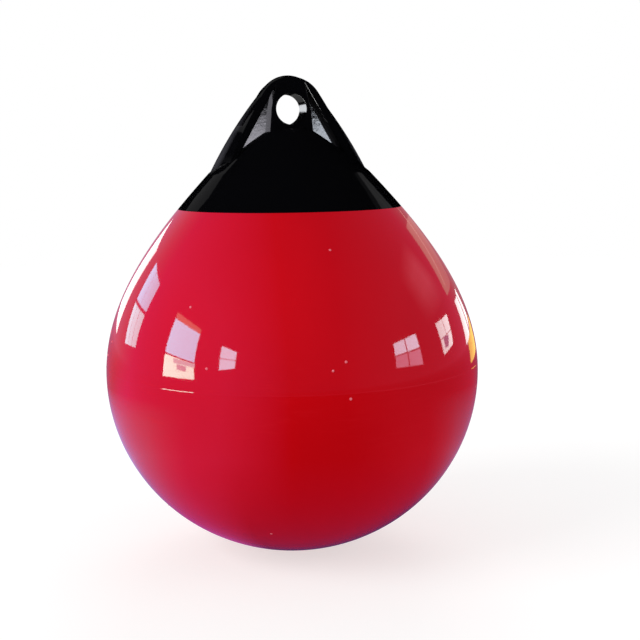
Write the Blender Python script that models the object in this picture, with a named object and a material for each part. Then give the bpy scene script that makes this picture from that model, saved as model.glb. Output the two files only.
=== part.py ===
# Inflatable marker buoy: a hollow red vinyl float with a black moulded rope hold on top.
# Metres, +Z up. The origin is under the middle of the float, level with its lowest point.
# The rope eye runs along Y, and the lug around it is widest along X.

import math

import bmesh
import bpy
from mathutils import Matrix, Vector

# Float, as inflated
BODY_RADIUS = 0.150
BELLY_DEPTH = 0.1457  # from the widest ring down to the lowest point
SHOULDER_HEIGHT = 0.238  # from the widest ring up to where the shoulders would meet
SHOULDER_POWER = 1.43  # 0.5 would be an ellipse, larger is leaner
WALL = 0.003
SEAM_ABOVE_WIDEST = 0.008
SEAM_WIDTH = 0.0024
SEAM_RIDGE = 0.0005
NECK_RADIUS = 0.020

# Rope hold, skirt and crown
SKIRT_RADIUS = 0.0891  # where its edge lies flush in the float
SKIRT_WALL = 0.003
CROWN_RADIUS = 0.064  # where the skirt turns into the flatter crown
CROWN_SLOPE = math.radians(39)
CROWN_TIP_RADIUS = 0.026  # where the crown starts to round over
CROWN_TIP_ROUND = 0.020
NECK_SLOPE = math.radians(22)  # of the float under the crown
ROOT_DEPTH = 0.012  # how far the root reaches down into the float's neck

# Rope hold, lug and eye
EYE_RADIUS = 0.012
EYE_ABOVE_CROWN = 0.049
EYE_COVER = 0.0146  # lug above the eye
LUG_THICKNESS = 0.030  # at the eye
LUG_FACE_DRAFT = math.radians(4.6)
LUG_FLANK_ANGLE = math.radians(40.9)  # from the vertical where the flanks start, in the middle plane
LUG_TOP_RADIUS = 0.0243
LUG_FLANK_BOW = 0.335  # radius of the flanks' slight bow
FACE_FLANK_ANGLE = math.radians(32)  # the same three on the two faces
FACE_TOP_RADIUS = 0.0254
FACE_FLANK_BOW = 0.40
FACE_TOP_DROP = 0.0017
LUG_EDGE_ROUND = 0.002

# Pockets beside the eye
WEB_THICKNESS = 0.006
BOSS_WALL = 0.0036  # between the eye and a pocket
BOSS_LEAN_ABOVE = math.radians(11.3)
BOSS_LEAN_BELOW = math.radians(5.2)
RIM_WIDTH = 0.0072  # across the rim, level with the eye
POCKET_FLANK_ANGLE = math.radians(29.7)
POCKET_SINK = 0.0006  # of a pocket's floor below the crown in front of it

# Valve on the rear of the skirt
VALVE_PAD_RADIUS = 0.0125
VALVE_PAD_RISE = 0.0015
VALVE_FLANGE_RADIUS = 0.0105
VALVE_FLANGE_THICKNESS = 0.0034
VALVE_BARREL_RADIUS = 0.006
VALVE_BARREL_TAIL = 0.0025  # stands out inside the float
VALVE_RECESS_DEPTH = 0.0024
SCREW_HEAD_RADIUS = 0.0068
SCREW_HEAD_HEIGHT = 0.0026
SCREW_SHANK_RADIUS = 0.0036
SCREW_SHANK_LENGTH = 0.009
SCREW_SLOT_WIDTH = 0.0016
SCREW_SLOT_DEPTH = 0.0014
SEAL_THICKNESS = 0.0010
SEAL_WIDTH = 0.0022

FIT = 0.0003  # clearance between pieces that touch
OVERCUT = 0.004  # how far a cutter runs past what it cuts

# Facets
TURNED_STEPS = 64
SMALL_STEPS = 24
ARC_STEPS = 12
FLANK_STEPS = 5
TIP_STEPS = 4
POCKET_STEPS = 5
BELLY_RINGS = 15
SHOULDER_RINGS = 9
SKIRT_RINGS = 4

# Heights that follow from the sizes above
WIDEST_HEIGHT = BELLY_DEPTH


def shoulder_height(radius):
    """Height above the widest ring at which the shoulder has this radius."""
    share = (radius / BODY_RADIUS) ** (1 / SHOULDER_POWER)
    return SHOULDER_HEIGHT * math.sqrt(1 - share)


SKIRT_EDGE_RISE = shoulder_height(SKIRT_RADIUS)
CROWN_RISE = shoulder_height(CROWN_RADIUS)
CROWN_HEIGHT = WIDEST_HEIGHT + CROWN_RISE
EYE_HEIGHT = CROWN_HEIGHT + EYE_ABOVE_CROWN
LUG_TOP = EYE_HEIGHT + EYE_RADIUS + EYE_COVER
RECESS = SKIRT_WALL + FIT


def shoulder(rise, depth=0.0):
    """Point (radius, height) of the shoulder curve, moved inwards by depth."""
    part_way = rise / SHOULDER_HEIGHT
    left = 1 - part_way * part_way
    radius = BODY_RADIUS * left**SHOULDER_POWER
    lean = 2 * BODY_RADIUS * SHOULDER_POWER * part_way / SHOULDER_HEIGHT * left ** (SHOULDER_POWER - 1)
    length = math.hypot(1, lean)
    return (radius - depth / length, WIDEST_HEIGHT + rise - depth * lean / length)


def belly(angle, depth=0.0):
    """Point of the half ellipse under the widest ring, angle 0 at the ring, moved inwards by depth."""
    radius = BODY_RADIUS * math.cos(angle)
    height = WIDEST_HEIGHT - BELLY_DEPTH * math.sin(angle)
    across = math.cos(angle) / BODY_RADIUS
    down = math.sin(angle) / BELLY_DEPTH
    length = math.hypot(across, down)
    return (max(radius - depth * across / length, 0.0), height + depth * down / length)


def spread(first, last, count):
    """Evenly spaced values from first to last."""
    return [first + (last - first) * step / (count - 1) for step in range(count)]


def crown(radius):
    """Point of the crown's cone at this radius."""
    return (radius, CROWN_HEIGHT + (CROWN_RADIUS - radius) * math.tan(CROWN_SLOPE))


def crown_tip():
    """Points that round the crown over, from its cone to the axis."""
    radius, height = crown(CROWN_TIP_RADIUS)
    centre_radius = radius - CROWN_TIP_ROUND * math.sin(CROWN_SLOPE)
    centre_height = height - CROWN_TIP_ROUND * math.cos(CROWN_SLOPE)
    over = []
    for angle in spread(CROWN_SLOPE, 0, TIP_STEPS):
        across = CROWN_TIP_ROUND * math.sin(angle)
        up = CROWN_TIP_ROUND * math.cos(angle)
        over.append((centre_radius + across, centre_height + up))
    return over + [(0, over[-1][1])]


def under_skirt(depth):
    """Points at this depth under the skirt, from its edge up to the crown's ring."""
    return [shoulder(rise, depth) for rise in spread(SKIRT_EDGE_RISE, CROWN_RISE, SKIRT_RINGS)]


def neck(radius, depth):
    """Point at this radius on the gentle cone from the crown's ring, at this depth, to the neck."""
    ring_radius, ring_height = shoulder(CROWN_RISE, depth)
    return (radius, ring_height + (ring_radius - radius) * math.tan(NECK_SLOPE))


def material(name, colour, roughness, metallic=0.0):
    finish = bpy.data.materials.new(name)
    finish.use_nodes = True
    shader = finish.node_tree.nodes["Principled BSDF"]
    shader.inputs["Base Color"].default_value = (*colour, 1)
    shader.inputs["Roughness"].default_value = roughness
    shader.inputs["Metallic"].default_value = metallic
    return finish


def add_object(name, shape, finish=None):
    """Turn a bmesh into an object, with its faces pointing out."""
    bmesh.ops.recalc_face_normals(shape, faces=shape.faces)
    mesh = bpy.data.meshes.new(name)
    shape.to_mesh(mesh)
    shape.free()
    mesh.shade_smooth()
    mesh.set_sharp_from_angle(angle=math.radians(30))
    if finish:
        mesh.materials.append(finish)
    made = bpy.data.objects.new(name, mesh)
    bpy.context.collection.objects.link(made)
    return made


def turned(name, profile, finish=None, steps=TURNED_STEPS, closed=False):
    """Spin a profile of (radius, height) points about Z. An open one starts and ends on the axis."""
    shape = bmesh.new()
    points = [shape.verts.new((radius, 0, height)) for radius, height in profile]
    ends = points[1:] + points[:1] if closed else points[1:]
    edges = [shape.edges.new(pair) for pair in zip(points, ends)]
    bmesh.ops.spin(
        shape, geom=points + edges, axis=(0, 0, 1), angle=math.tau, steps=steps, use_merge=True
    )
    bmesh.ops.remove_doubles(shape, verts=shape.verts, dist=1e-6)
    return add_object(name, shape, finish)


def helper(tool):
    """Keep a cutter or an added shape out of the finished model."""
    tool.hide_render = True
    tool.display_type = "WIRE"
    return tool


def combine(target, tool, operation):
    step = target.modifiers.new(f"{operation.lower()} {tool.name}", "BOOLEAN")
    step.operation = operation
    step.solver = "EXACT"
    step.object = helper(tool)


def valve_frame():
    """Place and turn of the valve: its own +Z points out of the rear of the skirt."""
    rise = (SKIRT_EDGE_RISE + CROWN_RISE) / 2
    radius, height = shoulder(rise)
    inner_radius, inner_height = shoulder(rise, SKIRT_WALL)
    out = Vector((0, radius - inner_radius, height - inner_height)).normalized()
    turn = out.to_track_quat("Z", "X").to_matrix().to_4x4()
    return Matrix.Translation((0, radius, height)) @ turn


def plain_rod(name, radius, bottom, top, place):
    """Round rod in the valve's own frame."""
    rod = turned(name, [(0, top), (radius, top), (radius, bottom), (0, bottom)], steps=SMALL_STEPS)
    rod.matrix_world = place
    return rod


def make_float_body(finish, place):
    """Hollow red float: recessed for the skirt, open at the neck, with a fine seam round its middle."""
    half_seam = SEAM_WIDTH / 2
    shoulder_rises = spread(SEAM_ABOVE_WIDEST + half_seam, SKIRT_EDGE_RISE, SHOULDER_RINGS)
    belly_angles = spread(0, math.pi / 2, BELLY_RINGS)
    outside = [belly(angle) for angle in reversed(belly_angles)]
    outside += [shoulder(SEAM_ABOVE_WIDEST - half_seam), shoulder(SEAM_ABOVE_WIDEST, -SEAM_RIDGE)]
    outside += [shoulder(rise) for rise in shoulder_rises]
    outside += under_skirt(RECESS) + [neck(NECK_RADIUS, RECESS)]
    thick = RECESS + WALL
    inner_rises = spread(SEAM_ABOVE_WIDEST, SKIRT_EDGE_RISE, SHOULDER_RINGS)
    inside = [neck(NECK_RADIUS, thick)] + list(reversed(under_skirt(thick)))
    inside += [shoulder(rise, WALL) for rise in reversed(inner_rises[:-2])]
    inside += [belly(angle, WALL) for angle in belly_angles]
    body = turned("float_body", outside + inside, finish)
    depth = RECESS + WALL + OVERCUT
    hole = plain_rod("valve_hole_in_float", VALVE_BARREL_RADIUS + FIT, -depth, OVERCUT, place)
    combine(body, hole, "DIFFERENCE")
    return body


def arch(top, radius, flank, bow, base):
    """Outline (x, z) of a lug with a round top and slightly bowed flanks, from left foot to right foot."""
    centre = top - radius
    top_angles = spread(math.pi / 2, flank, ARC_STEPS)
    right = [(radius * math.cos(angle), centre + radius * math.sin(angle)) for angle in top_angles]
    bow_x = (radius - bow) * math.cos(flank)
    bow_z = centre + (radius - bow) * math.sin(flank)
    foot = math.asin((base - bow_z) / bow)
    flank_angles = spread(flank, foot, FLANK_STEPS)[1:]
    right += [(bow_x + bow * math.cos(angle), bow_z + bow * math.sin(angle)) for angle in flank_angles]
    left = [(-x, z) for x, z in reversed(right[1:])]
    return left + right


def middle_arch(base):
    return arch(LUG_TOP, LUG_TOP_RADIUS, LUG_FLANK_ANGLE, LUG_FLANK_BOW, base)


def face_arch(base):
    return arch(LUG_TOP - FACE_TOP_DROP, FACE_TOP_RADIUS, FACE_FLANK_ANGLE, FACE_FLANK_BOW, base)


def face_depth(height):
    """Half the lug's thickness at this height: it thickens downwards."""
    return LUG_THICKNESS / 2 + (EYE_HEIGHT - height) * math.tan(LUG_FACE_DRAFT)


def make_lug(base):
    """Solid lug, widest in its middle plane, drawn in towards both faces."""
    middle = middle_arch(base)
    face = face_arch(base)
    shape = bmesh.new()
    middle_ring = [shape.verts.new((x, 0, z)) for x, z in middle]
    for side in (-1, 1):
        face_ring = [shape.verts.new((x, side * face_depth(z), z)) for x, z in face]
        flat = shape.faces.new(face_ring)
        for step in range(-1, len(middle) - 1):
            shape.faces.new((middle_ring[step], middle_ring[step + 1], face_ring[step + 1], face_ring[step]))
        rounding = [edge for edge in flat.edges if max(v.co.z for v in edge.verts) > base + 1e-6]
        bmesh.ops.bevel(
            shape, geom=rounding, offset=LUG_EDGE_ROUND, segments=2, profile=0.5, affect="EDGES"
        )
        bmesh.ops.remove_doubles(shape, verts=shape.verts, dist=1e-6)
    return add_object("lug", shape)


def pocket_floor(x):
    """Height of a pocket's floor: level with the crown where the lug's face meets it, less the sink."""
    depth = face_depth((EYE_HEIGHT + CROWN_HEIGHT) / 2)
    return crown(math.hypot(x, depth))[1] - POCKET_SINK


def meet_floor(x_at_eye, lean):
    """Where a side of a pocket, leaning out downwards, comes down to the floor."""
    x = x_at_eye
    for _ in range(30):
        x = x_at_eye + (EYE_HEIGHT - pocket_floor(x)) * math.tan(lean)
    return x


def make_pocket(side, face):
    """Cutter for the three-cornered pocket on one side of the eye, in one face of the lug."""
    rim_line = face_arch(EYE_HEIGHT)[-1][0] - RIM_WIDTH
    boss_line = EYE_RADIUS + BOSS_WALL
    steep = math.tan(POCKET_FLANK_ANGLE)
    tip_rise = (rim_line - boss_line) / (steep - math.tan(BOSS_LEAN_ABOVE))
    outer_corner = meet_floor(rim_line, POCKET_FLANK_ANGLE)
    inner_corner = meet_floor(boss_line, BOSS_LEAN_BELOW)
    floor = spread(outer_corner, inner_corner, POCKET_STEPS)
    corners = [(boss_line, EYE_HEIGHT), (rim_line - tip_rise * steep, EYE_HEIGHT + tip_rise)]
    corners += [(x, pocket_floor(x)) for x in floor]
    shape = bmesh.new()
    near = WEB_THICKNESS / 2
    far = face_depth(CROWN_HEIGHT) + OVERCUT
    rings = [[shape.verts.new((side * x, face * depth, z)) for x, z in corners] for depth in (near, far)]
    for ring in rings:
        shape.faces.new(ring)
    for step in range(-1, len(corners) - 1):
        shape.faces.new((rings[0][step], rings[0][step + 1], rings[1][step + 1], rings[1][step]))
    side_name = "right" if side > 0 else "left"
    face_name = "rear" if face > 0 else "front"
    return add_object(f"{face_name}_{side_name}_pocket", shape)


def make_rope_hold(finish, place):
    """Black moulded head: skirt, crown, lug with its eye and pockets, and a root in the float's neck."""
    lip = shoulder(SKIRT_EDGE_RISE, SKIRT_WALL + OVERCUT)
    rises = spread(SKIRT_EDGE_RISE, CROWN_RISE, SKIRT_RINGS)
    outline = [(0, lip[1]), lip] + [shoulder(rise) for rise in rises]
    hold = turned("rope_hold", outline + crown_tip(), finish)

    lug_base = WIDEST_HEIGHT + (SKIRT_EDGE_RISE + 2 * CROWN_RISE) / 3
    combine(hold, make_lug(lug_base), "UNION")
    for side in (-1, 1):
        for face in (-1, 1):
            combine(hold, make_pocket(side, face), "DIFFERENCE")

    pad = plain_rod("valve_pad", VALVE_PAD_RADIUS, -SKIRT_WALL, VALVE_PAD_RISE, place)
    combine(hold, pad, "UNION")

    root_radius = NECK_RADIUS - FIT
    root_bottom = neck(NECK_RADIUS, RECESS)[1] - ROOT_DEPTH
    space = under_skirt(SKIRT_WALL) + [neck(root_radius, SKIRT_WALL), (root_radius, root_bottom)]
    first = space[0]
    second = space[1]
    run_out = (2 * first[0] - second[0], 2 * first[1] - second[1])
    floor = run_out[1] - OVERCUT
    space = [(0, floor), (run_out[0], floor), run_out] + space + [(0, root_bottom)]
    combine(hold, turned("float_space", space), "DIFFERENCE")

    reach = face_depth(lug_base) + OVERCUT
    eye_profile = [(0, reach), (EYE_RADIUS, reach), (EYE_RADIUS, -reach), (0, -reach)]
    eye = turned("eye", eye_profile, steps=TURNED_STEPS // 2)
    eye.matrix_world = Matrix.Translation((0, 0, EYE_HEIGHT)) @ Matrix.Rotation(math.pi / 2, 4, "X")
    combine(hold, eye, "DIFFERENCE")

    hole_depth = SKIRT_WALL + OVERCUT
    hole = plain_rod("valve_hole_in_skirt", VALVE_BARREL_RADIUS + FIT, -hole_depth, OVERCUT, place)
    combine(hold, hole, "DIFFERENCE")
    return hold


def make_valve(place, body_finish, screw_finish, seal_finish):
    """Flanged valve body through skirt and float, its seal, and the slotted screw that closes it."""
    flange_bottom = VALVE_PAD_RISE + FIT
    flange_top = flange_bottom + VALVE_FLANGE_THICKNESS
    recess_floor = flange_top - VALVE_RECESS_DEPTH
    tail = -(RECESS + WALL + VALVE_BARREL_TAIL)
    bore = SCREW_SHANK_RADIUS + FIT
    body_profile = [
        (bore, tail),
        (VALVE_BARREL_RADIUS, tail),
        (VALVE_BARREL_RADIUS, flange_bottom),
        (VALVE_FLANGE_RADIUS, flange_bottom),
        (VALVE_FLANGE_RADIUS, flange_top),
        (SCREW_HEAD_RADIUS + FIT, flange_top),
        (SCREW_HEAD_RADIUS + FIT, recess_floor),
        (bore, recess_floor),
    ]
    body = turned("valve_body", body_profile, body_finish, steps=SMALL_STEPS, closed=True)

    seal_bottom = recess_floor + FIT
    seal_top = seal_bottom + SEAL_THICKNESS
    seal_profile = [
        (bore, seal_bottom),
        (bore + SEAL_WIDTH, seal_bottom),
        (bore + SEAL_WIDTH, seal_top),
        (bore, seal_top),
    ]
    seal = turned("valve_seal", seal_profile, seal_finish, steps=SMALL_STEPS, closed=True)

    head_bottom = seal_top + FIT
    head_top = head_bottom + SCREW_HEAD_HEIGHT
    screw_profile = [
        (0, head_top),
        (SCREW_HEAD_RADIUS, head_top),
        (SCREW_HEAD_RADIUS, head_bottom),
        (SCREW_SHANK_RADIUS, head_bottom),
        (SCREW_SHANK_RADIUS, head_bottom - SCREW_SHANK_LENGTH),
        (0, head_bottom - SCREW_SHANK_LENGTH),
    ]
    screw = turned("valve_screw", screw_profile, screw_finish, steps=SMALL_STEPS)
    shape = bmesh.new()
    bmesh.ops.create_cube(shape, size=1)
    slot_size = (2 * SCREW_HEAD_RADIUS + OVERCUT, SCREW_SLOT_WIDTH, 2 * SCREW_SLOT_DEPTH)
    bmesh.ops.scale(shape, vec=slot_size, verts=shape.verts)
    bmesh.ops.translate(shape, vec=(0, 0, head_top), verts=shape.verts)
    slot = add_object("screw_slot", shape)
    combine(screw, slot, "DIFFERENCE")
    for piece in (body, seal, screw, slot):
        piece.matrix_world = place
    return body, seal, screw


def main():
    for old in list(bpy.data.objects):
        bpy.data.objects.remove(old, do_unlink=True)
    red_vinyl = material("red_vinyl", (0.55, 0.006, 0.012), 0.12)
    black_vinyl = material("black_vinyl", (0.006, 0.006, 0.008), 0.15)
    black_nylon = material("black_nylon", (0.012, 0.012, 0.013), 0.4)
    grey_nylon = material("grey_nylon", (0.16, 0.16, 0.17), 0.45)
    seal_rubber = material("seal_rubber", (0.02, 0.02, 0.02), 0.7)
    place = valve_frame()
    make_float_body(red_vinyl, place)
    make_rope_hold(black_vinyl, place)
    make_valve(place, black_nylon, grey_nylon, seal_rubber)


main()
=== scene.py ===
# %% [markdown]
# An inflatable marker buoy
#
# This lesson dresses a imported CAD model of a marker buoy. The real one is a ball of glossy
# red vinyl that narrows upwards, with a black moulded head whose round eye takes the rope.
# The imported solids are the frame: they give every place and size. Each cell below makes
# one thing, and the text before it says what that thing is and why it is made that way.

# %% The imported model
import math
import random

import bmesh
import bpy
from mathutils import Matrix, Vector


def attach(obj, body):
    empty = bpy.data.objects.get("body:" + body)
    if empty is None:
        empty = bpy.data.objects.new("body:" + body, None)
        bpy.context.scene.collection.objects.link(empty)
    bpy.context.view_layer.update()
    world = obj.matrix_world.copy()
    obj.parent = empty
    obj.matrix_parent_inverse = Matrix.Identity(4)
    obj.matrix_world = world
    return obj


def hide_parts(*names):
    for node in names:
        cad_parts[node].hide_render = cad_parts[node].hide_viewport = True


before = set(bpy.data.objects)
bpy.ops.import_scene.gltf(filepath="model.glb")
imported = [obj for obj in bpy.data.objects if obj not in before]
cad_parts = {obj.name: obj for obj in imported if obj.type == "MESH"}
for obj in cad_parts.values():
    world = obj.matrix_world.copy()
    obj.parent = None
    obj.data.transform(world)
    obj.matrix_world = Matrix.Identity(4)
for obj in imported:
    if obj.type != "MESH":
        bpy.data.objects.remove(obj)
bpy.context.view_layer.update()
print("solids:", sorted(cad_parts))

# %% [markdown]
# Sums on sockets
#
# Materials and Geometry Nodes are both trees of small sums. Written node by node they are
# long and hard to follow. A small class that wraps a socket lets a sum be typed as Python,
# and each operator adds its own Math node. Any other node comes from one method, which
# sets the node's own settings first and then its sockets.


# %% A board to put nodes on, and wires that know sums
class Wire:
    """One output socket. Sums on it add Math nodes to its board."""

    def __init__(self, board, socket):
        self.board = board
        self.socket = socket

    def math(self, operation, *values, swap=False):
        terms = [*values, self] if swap else [self, *values]
        return self.board.add("ShaderNodeMath", {"operation": operation}, terms)[0]

    def __add__(self, other):
        return self.math("ADD", other)

    __radd__ = __add__

    def __mul__(self, other):
        return self.math("MULTIPLY", other)

    __rmul__ = __mul__

    def __sub__(self, other):
        return self.math("SUBTRACT", other)

    def __rsub__(self, other):
        return self.math("SUBTRACT", other, swap=True)

    def __truediv__(self, other):
        return self.math("DIVIDE", other)

    def __pow__(self, other):
        return self.math("POWER", other)

    def between(self, low, high):
        """0 below low, 1 above high, and an even slope from one to the other."""
        settings = {"clamp": True, "interpolation_type": "LINEAR"}
        values = {"Value": self, "From Min": low, "From Max": high}
        return self.board.add("ShaderNodeMapRange", settings, values)["Result"]


class Outputs:
    """The outputs of a new node, by name or by number."""

    def __init__(self, board, node):
        self.board = board
        self.node = node

    def __getitem__(self, key):
        return Wire(self.board, self.node.outputs[key])


class Board:
    """A node tree, and the one method that adds a node to it."""

    def __init__(self, tree):
        self.tree = tree

    def add(self, kind, settings=None, values=None):
        """A new node: its settings first, then a value or a link for each socket."""
        node = self.tree.nodes.new(kind)
        for name, value in (settings or {}).items():
            setattr(node, name, value)
        pairs = values.items() if isinstance(values, dict) else enumerate(values or [])
        for key, value in pairs:
            self.join(value, node.inputs[key])
        return Outputs(self, node)

    def join(self, value, socket):
        """Link a wire to a socket, or write a plain value on it."""
        if isinstance(value, Wire):
            self.tree.links.new(value.socket, socket)
        else:
            socket.default_value = value

    def mix_colour(self, share, first, second):
        """The first colour where share is 0, and the second where it is 1."""
        settings = {"data_type": "RGBA"}
        node = self.add("ShaderNodeMix", settings, {0: share, 6: first, 7: second})
        return node[2]


# %% [markdown]
# The camera
#
# The photograph was taken a little from the left and a little above the float's middle,
# from about a metre away. The buoy stands left of the picture's middle, so the lens is
# shifted by that much instead of turning the camera, which would bend the outline.

# %% Camera at the photograph's viewing angle
PICTURE_SIZE = 640
CAMERA_AZIMUTH = math.radians(-10.6)
CAMERA_PITCH = math.radians(8.219)
CAMERA_ROLL = math.radians(0.9)
CAMERA_DISTANCE = 0.95018
CAMERA_HEIGHT = 0.32295
FOCAL_LENGTH_IN_PIXELS = 1181.5
BUOY_MIDDLE_IN_PIXELS = 291.3

camera = bpy.data.cameras.new("camera")
camera_object = bpy.data.objects.new("camera", camera)
bpy.context.scene.collection.objects.link(camera_object)
bpy.context.scene.camera = camera_object
camera.lens = FOCAL_LENGTH_IN_PIXELS / PICTURE_SIZE * camera.sensor_width
camera.shift_x = (PICTURE_SIZE / 2 - BUOY_MIDDLE_IN_PIXELS) / PICTURE_SIZE
camera.clip_start = 0.01
back = Vector((math.sin(CAMERA_AZIMUTH), -math.cos(CAMERA_AZIMUTH), 0))
place = back * CAMERA_DISTANCE + Vector((0, 0, CAMERA_HEIGHT))
ahead = -back * math.cos(CAMERA_PITCH) - Vector((0, 0, math.sin(CAMERA_PITCH)))
right = ahead.cross(Vector((0, 0, 1))).normalized()
above = right.cross(ahead)
turn = Matrix((right, above, -ahead)).transposed().to_4x4()
camera_object.matrix_world = (
    Matrix.Translation(place) @ turn @ Matrix.Rotation(-CAMERA_ROLL, 4, "Z")
)
print("camera at", [round(value, 3) for value in place], "lens", round(camera.lens, 1), "mm")

# %% [markdown]
# Floor, background and soft light
#
# The photograph is cut out on white. Here a pale floor carries the buoy's soft shadow, and
# the same white lies behind it, for the camera and for mirror and glass rays alike. The
# light itself is plain: an even sky and three large soft lamps, the strongest from the left
# as in the photograph. The lamps don't show in the gloss, because the next step gives the
# gloss something better to mirror.

# %% World and floor
SKY_LIGHT = 0.46
FLOOR_GREY = 0.45
FLOOR_TOP_UP = 0.62
FLOOR_BOUNCE = 0.36
FLOOR_SIZE = 16.0
FLOOR_FADE = (0.9, 2.6)

bpy.context.scene.view_settings.view_transform = "Standard"


def seen_directly(board):
    """1 for rays that show the background: from the camera, off a mirror or through glass."""
    path = board.add("ShaderNodeLightPath")
    mirror = path["Is Glossy Ray"].math("MAXIMUM", path["Is Transmission Ray"])
    return path["Is Camera Ray"].math("MAXIMUM", mirror)


world = bpy.data.worlds.new("white studio")
world.use_nodes = True
world.cycles.sampling_method = "NONE"
bpy.context.scene.world = world
board = Board(world.node_tree)
background = world.node_tree.nodes["Background"]
background.inputs["Color"].default_value = (1, 1, 1, 1)
board.join(SKY_LIGHT + seen_directly(board) * (1 - SKY_LIGHT), background.inputs["Strength"])


def new_material(name):
    """An empty material, its board and the output that it ends in."""
    made = bpy.data.materials.new(name)
    made.use_nodes = True
    made.node_tree.nodes.clear()
    output = made.node_tree.nodes.new("ShaderNodeOutputMaterial")
    return made, Board(made.node_tree), output


def flat_piece(name, corners, material):
    """A four-sided plane through these corners, with a UV map from 0 to 1."""
    mesh = bpy.data.meshes.new(name)
    mesh.from_pydata(corners, [], [(0, 1, 2, 3)])
    unwrap = mesh.uv_layers.new(name="UVMap")
    for loop, spot in zip(unwrap.data, ((0, 0), (1, 0), (1, 1), (0, 1))):
        loop.uv = spot
    mesh.materials.append(material)
    made = bpy.data.objects.new(name, mesh)
    bpy.context.scene.collection.objects.link(made)
    return made


floor_white, board, output = new_material("floor_white")
matt = board.add("ShaderNodeBsdfDiffuse", None, {"Color": (FLOOR_GREY,) * 3 + (1,)})["BSDF"]
seen = seen_directly(board)
strength = FLOOR_BOUNCE + seen * (FLOOR_TOP_UP - FLOOR_BOUNCE)
glow = board.add("ShaderNodeEmission", None, {"Strength": strength})["Emission"]
near_floor = board.add("ShaderNodeAddShader", None, [matt, glow])[0]
white = board.add("ShaderNodeEmission", None, {"Strength": 1.0})["Emission"]
place = board.add("ShaderNodeNewGeometry")["Position"]
away = board.add("ShaderNodeVectorMath", {"operation": "LENGTH"}, [place])["Value"]
fade = away.between(*FLOOR_FADE) * seen
surface = board.add("ShaderNodeMixShader", None, [fade, near_floor, white])[0]
board.join(surface, output.inputs["Surface"])
half = FLOOR_SIZE / 2
corners = [(-half, -half, 0), (half, -half, 0), (half, half, 0), (-half, half, 0)]
floor_white.cycles.emission_sampling = "NONE"
flat_piece("floor", corners, floor_white)
print("floor", FLOOR_SIZE, "m wide")


# %% Three soft lamps
def soft_lamp(name, spot, size, power, aim=(0, 0, 0.18)):
    """A large square lamp that lights the buoy but doesn't show in its gloss."""
    lamp = bpy.data.lights.new(name, "AREA")
    lamp.size = size
    lamp.energy = power
    made = bpy.data.objects.new(name, lamp)
    made.location = spot
    made.rotation_euler = (Vector(aim) - Vector(spot)).to_track_quat("-Z", "Y").to_euler()
    made.visible_camera = False
    made.visible_glossy = False
    bpy.context.scene.collection.objects.link(made)
    print(name, "of", power, "W")


soft_lamp("left lamp", (-2.7, -0.9, 1.7), 2.0, 66)
soft_lamp("right lamp", (2.6, -1.2, 1.3), 1.6, 14)
soft_lamp("rear lamp", (0.8, 2.6, 1.9), 2.0, 38)

# %% [markdown]
# What the gloss mirrors
#
# Shiny vinyl is only as good as the room around it. The photograph was taken in a dim
# workshop with bright windows, and those windows are what makes the float look wet. A
# photographer does the same in a white studio with dark cloth and bright cut-out panels.
# All of it is seen by glossy rays only, so it lights nothing and no view shows it. Light
# linking keeps two sets apart: the float mirrors the windows, the black head its own lamps.
# First comes the cloth: a tent and a floor in dim colours that change with the direction.

# %% Cloth that only the gloss sees
TENT_RADIUS = 7.0
WALL_DUSK = {
    "front": (0.20, 0.06, 0.16, 1),
    "left": (0.85, 0.18, 0.72, 1),
    "right": (1.00, 0.14, 0.30, 1),
    "back left": (0.52, 0.34, 0.58, 1),
    "back right": (0.50, 0.24, 0.30, 1),
}
FLOOR_DUSK = {
    "front": (0.15, 0.01, 0.04, 1),
    "left": (0.90, 0.17, 0.66, 1),
    "right": (0.60, 0.06, 0.15, 1),
    "back left": (0.34, 0.15, 0.28, 1),
    "back right": (0.30, 0.10, 0.19, 1),
}
NEAR_LEFT = (0.48, 0.45, 0.92, 1)
NEAR_RIGHT = (0.38, 0.19, 0.38, 1)
UNDER_LEFT = (0.45, 0.10, 0.42, 1)
UNDER = (0.0, 0.04, 0.16, 1)

float_room = bpy.data.collections.new("mirrored by the float")
head_room = bpy.data.collections.new("mirrored by the head")


def mirror_only(thing, room=float_room):
    """Shown in the reflections of the things in one room, and to nothing else."""
    thing.visible_camera = False
    thing.visible_diffuse = False
    thing.visible_shadow = False
    thing.visible_transmission = False
    thing.light_linking.receiver_collection = room


def glow_material(name, colour, strength=1.0, share=None):
    """A glowing material that isn't sampled as a lamp. Where share is 0 it is clear."""
    made, board, output = new_material(name)
    if callable(colour):
        colour = colour(board)
    elif len(colour) == 3:
        colour = (*colour, 1)
    glow = board.add("ShaderNodeEmission", None, {"Color": colour, "Strength": strength})[0]
    if share:
        clear = board.add("ShaderNodeBsdfTransparent")[0]
        glow = board.add("ShaderNodeMixShader", None, [share(board), clear, glow])[0]
    board.join(glow, output.inputs["Surface"])
    made.cycles.emission_sampling = "NONE"
    return made


def compass(board):
    """How far east and north a point lies as seen from the buoy, both from -1 to 1."""
    place = board.add("ShaderNodeNewGeometry")["Position"]
    way = board.add("ShaderNodeVectorMath", {"operation": "NORMALIZE"}, [place])["Vector"]
    spot = board.add("ShaderNodeSeparateXYZ", None, [way])
    return spot["X"], spot["Y"]


def by_direction(board, colours):
    """One dim colour that turns into the next from side to side."""
    east, north = compass(board)
    colour = board.mix_colour((0 - east).between(0.2, 0.75), colours["front"], colours["left"])
    colour = board.mix_colour(east.between(0.3, 0.8), colour, colours["right"])
    back = board.mix_colour(east.between(-0.3, 0.3), colours["back left"], colours["back right"])
    return board.mix_colour(north.between(0.5, 0.8), colour, back)


def wall_colour(board):
    return by_direction(board, WALL_DUSK)


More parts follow.
